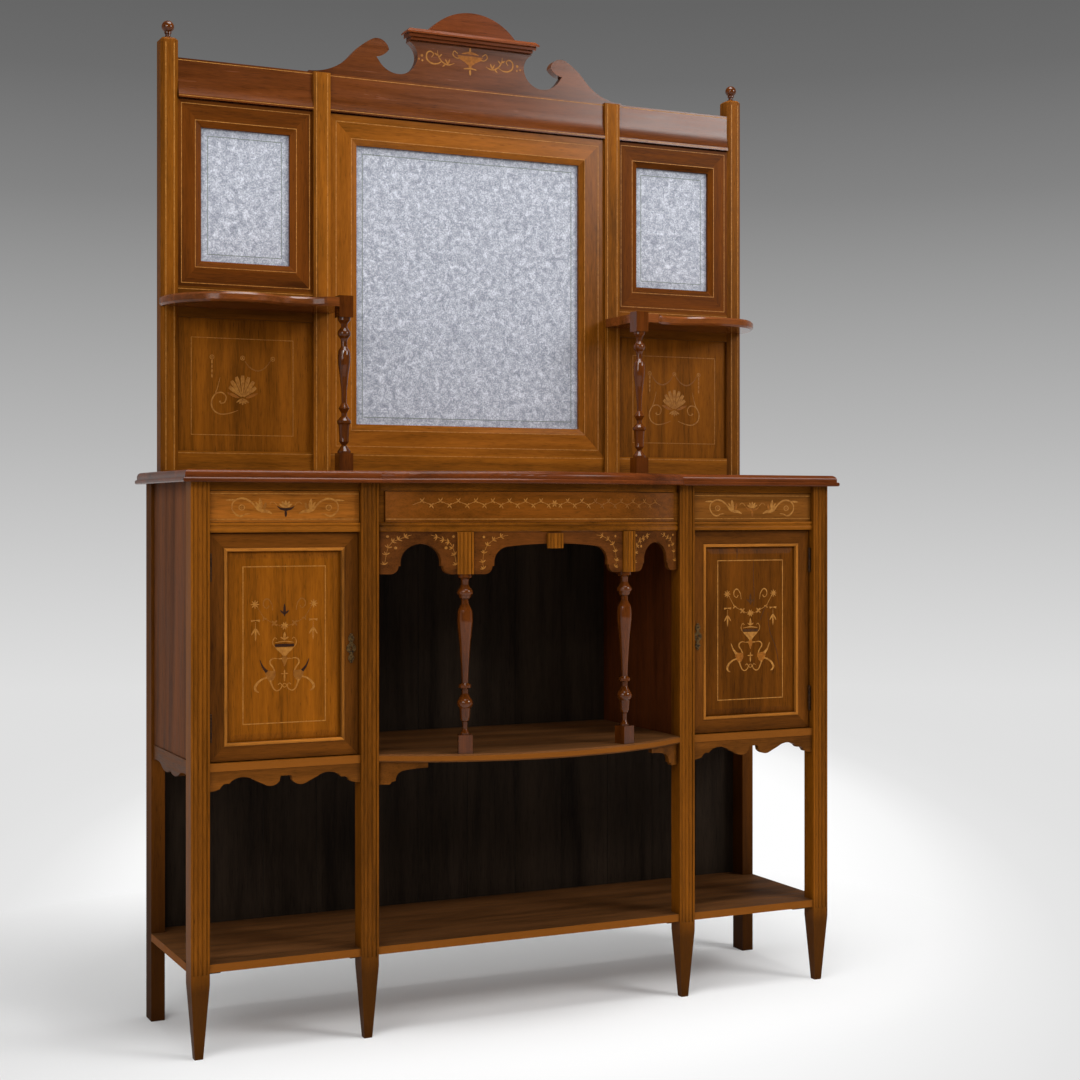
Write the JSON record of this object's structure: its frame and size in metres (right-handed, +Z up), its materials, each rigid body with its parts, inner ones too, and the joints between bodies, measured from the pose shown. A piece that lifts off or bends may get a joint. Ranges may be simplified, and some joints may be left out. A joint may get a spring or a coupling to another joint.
{
  "type": "chiffonier",
  "caption": "Inlaid walnut mirror-back chiffonier with cupboards beside a bow-fronted recess, frieze drawers, a low shelf, bracket shelves on turned columns and a scrolled pediment.",
  "frame": {"origin": "on the floor at the middle of the plan", "axes": "+Z up, the front faces -Y, +X to the right seen from the front"},
  "size_m": [1.372, 0.455, 1.99],
  "materials": {
    "walnut": "polished",
    "dark_walnut": "polished",
    "inlaid_walnut": "polished",
    "boxwood": "polished",
    "stained_pine": "dull",
    "pine": "planed",
    "mirror": "silvered",
    "brass": "aged",
    "steel": "dull"
  },
  "bodies": {
    "carcass": {"leg_outer_left": "walnut", "leg_inner_left": "walnut", "leg_inner_right": "walnut", "leg_outer_right": "walnut", "back_legs": "walnut", "side_aprons": "walnut", "frieze_rails": "walnut", "moulded_rails": "walnut", "bow_rail": "walnut", "front_aprons": "walnut", "arcade_fret": "walnut", "arcade_blocks": "walnut", "shelf_brackets": "walnut", "posts": "walnut", "stiles": "walnut", "head_rails": "walnut", "base_rails": "walnut", "cross_rails": "walnut", "mirror_frames_side": "walnut", "mirror_frame_centre": "walnut", "pediment": "walnut", "top_board": "dark_walnut", "long_spindles": "dark_walnut", "niche_spindles": "dark_walnut", "niche_shelves": "dark_walnut", "finials": "dark_walnut", "pediment_cap": "dark_walnut", "side_panels": "dark_walnut", "partitions": "dark_walnut", "centre_shelf": "dark_walnut", "bottom_shelf": "dark_walnut", "niche_panels": "inlaid_walnut", "back_boards": "stained_pine", "corner_blocks": "stained_pine", "mirror_backboards": "stained_pine", "cupboard_floors": "pine", "dust_boards": "pine", "mirrors_side": "mirror", "mirror_centre": "mirror", "hinge_leaves_fixed": "brass"},
    "door_left": {"door_frame_left": "walnut", "door_bead_left": "boxwood", "door_panel_left": "inlaid_walnut", "door_hinges_left": "brass", "door_escutcheon_left": "brass", "door_lock_left": "steel"},
    "bolt_left": {"door_bolt_left": "brass"},
    "door_right": {"door_frame_right": "walnut", "door_bead_right": "boxwood", "door_panel_right": "inlaid_walnut", "door_hinges_right": "brass", "door_escutcheon_right": "brass", "door_lock_right": "steel"},
    "bolt_right": {"door_bolt_right": "brass"},
    "drawer_left": {"drawer_front_left": "inlaid_walnut", "drawer_box_left": "pine"},
    "drawer_right": {"drawer_front_right": "inlaid_walnut", "drawer_box_right": "pine"},
    "drawer_centre": {"drawer_front_centre": "inlaid_walnut", "drawer_box_centre": "pine"}
  },
  "joints": [
    {"name": "door_left_hinge", "type": "hinge", "parent": "carcass", "child": "door_left", "pos_m": [-0.6306, -0.1069, 0.7245], "axis": [0, 0, -1], "range_deg": [0, 95]},
    {"name": "bolt_left_slide", "type": "slide", "parent": "door_left", "child": "bolt_left", "axis": [1, 0, 0], "range_m": [0, 0.007]},
    {"name": "door_right_hinge", "type": "hinge", "parent": "carcass", "child": "door_right", "pos_m": [0.6306, -0.1069, 0.7245], "axis": [0, 0, 1], "range_deg": [0, 95]},
    {"name": "bolt_right_slide", "type": "slide", "parent": "door_right", "child": "bolt_right", "axis": [-1, 0, 0], "range_m": [0, 0.007]},
    {"name": "drawer_left_slide", "type": "slide", "parent": "carcass", "child": "drawer_left", "axis": [0, -1, 0], "range_m": [0, 0.2]},
    {"name": "drawer_right_slide", "type": "slide", "parent": "carcass", "child": "drawer_right", "axis": [0, -1, 0], "range_m": [0, 0.2]},
    {"name": "drawer_centre_slide", "type": "slide", "parent": "carcass", "child": "drawer_centre", "axis": [0, -1, 0], "range_m": [0, 0.2]}
  ]
}
